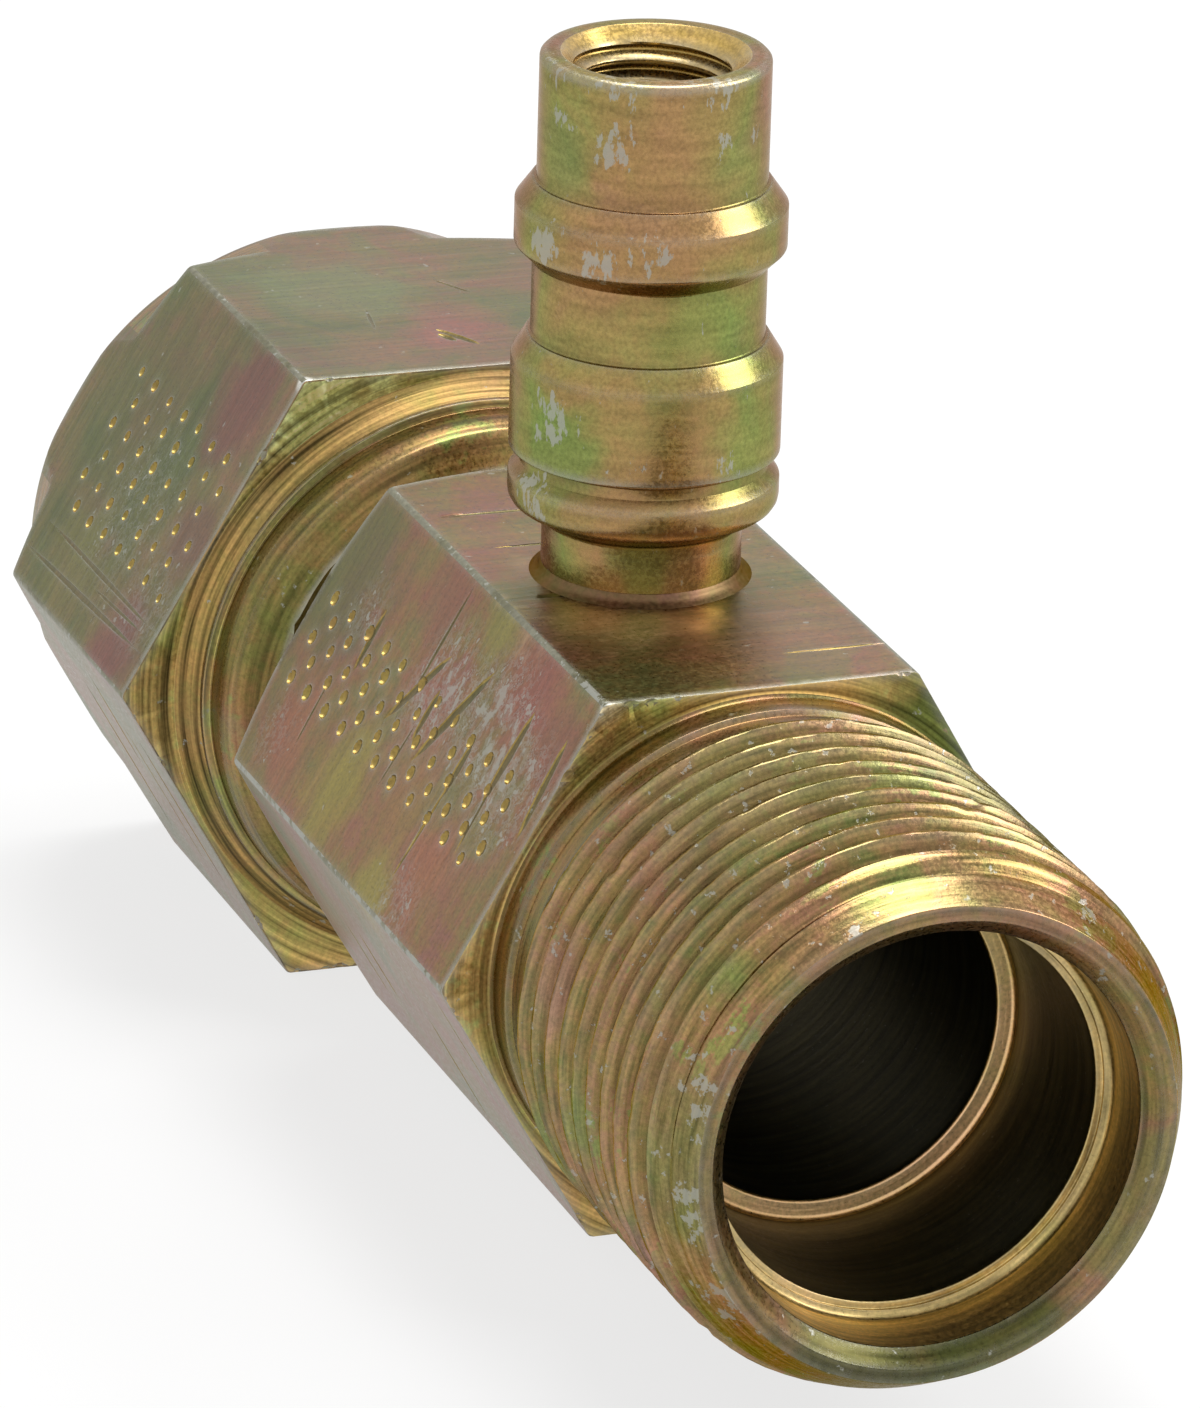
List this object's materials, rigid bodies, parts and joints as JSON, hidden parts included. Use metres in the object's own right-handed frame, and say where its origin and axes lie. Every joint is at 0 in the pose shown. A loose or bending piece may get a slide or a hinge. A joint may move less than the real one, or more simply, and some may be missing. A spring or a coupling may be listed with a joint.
{
  "type": "refrigerant service port fitting",
  "caption": "Inline hexagonal refrigerant line adapter with a male thread, a captive swivel nut over an O-ring pilot and a quick-connect charge port with a valve core.",
  "frame": {"origin": "where the charge port's axis crosses the line's axis, in the middle of the bore", "axes": "+X along the line's axis towards the male thread's end face, +Z along the charge port's axis towards its mouth"},
  "size_m": [0.0862, 0.0366, 0.0555],
  "materials": {
    "yellow_zinc_steel": "zinc plated steel with iridescent yellow chromate",
    "plated_braze": "smooth braze fillet under the same plating",
    "seal_rubber": "smooth green nitrile",
    "washer_rubber": "matt black",
    "core_brass": "bright turned",
    "seal_polymer": "smooth red",
    "spring_steel": "bright drawn wire"
  },
  "bodies": {
    "fitting": {"fitting_body": "yellow_zinc_steel", "pilot_o_ring": "seal_rubber", "charge_port": "yellow_zinc_steel", "braze_ring": "plated_braze", "core_plug": "core_brass", "core_barrel": "core_brass", "core_barrel_seal": "seal_polymer", "core_spring": "spring_steel"},
    "nut": {"swivel_nut": "yellow_zinc_steel"},
    "valve_pin": {"core_pin": "core_brass", "core_cup": "core_brass", "core_cup_seal": "washer_rubber"}
  },
  "joints": [
    {"name": "nut_spin", "type": "hinge", "parent": "fitting", "child": "nut", "pos_m": [-0.0225, 0, 0], "axis": [1, 0, 0], "continuous": true},
    {"name": "valve_press", "type": "slide", "parent": "fitting", "child": "valve_pin", "axis": [0, 0, -1], "range_m": [0, 0.0015], "stiffness_N_per_m": 1200, "springref_m": -0.0025, "deforming": ["core_spring"]}
  ]
}
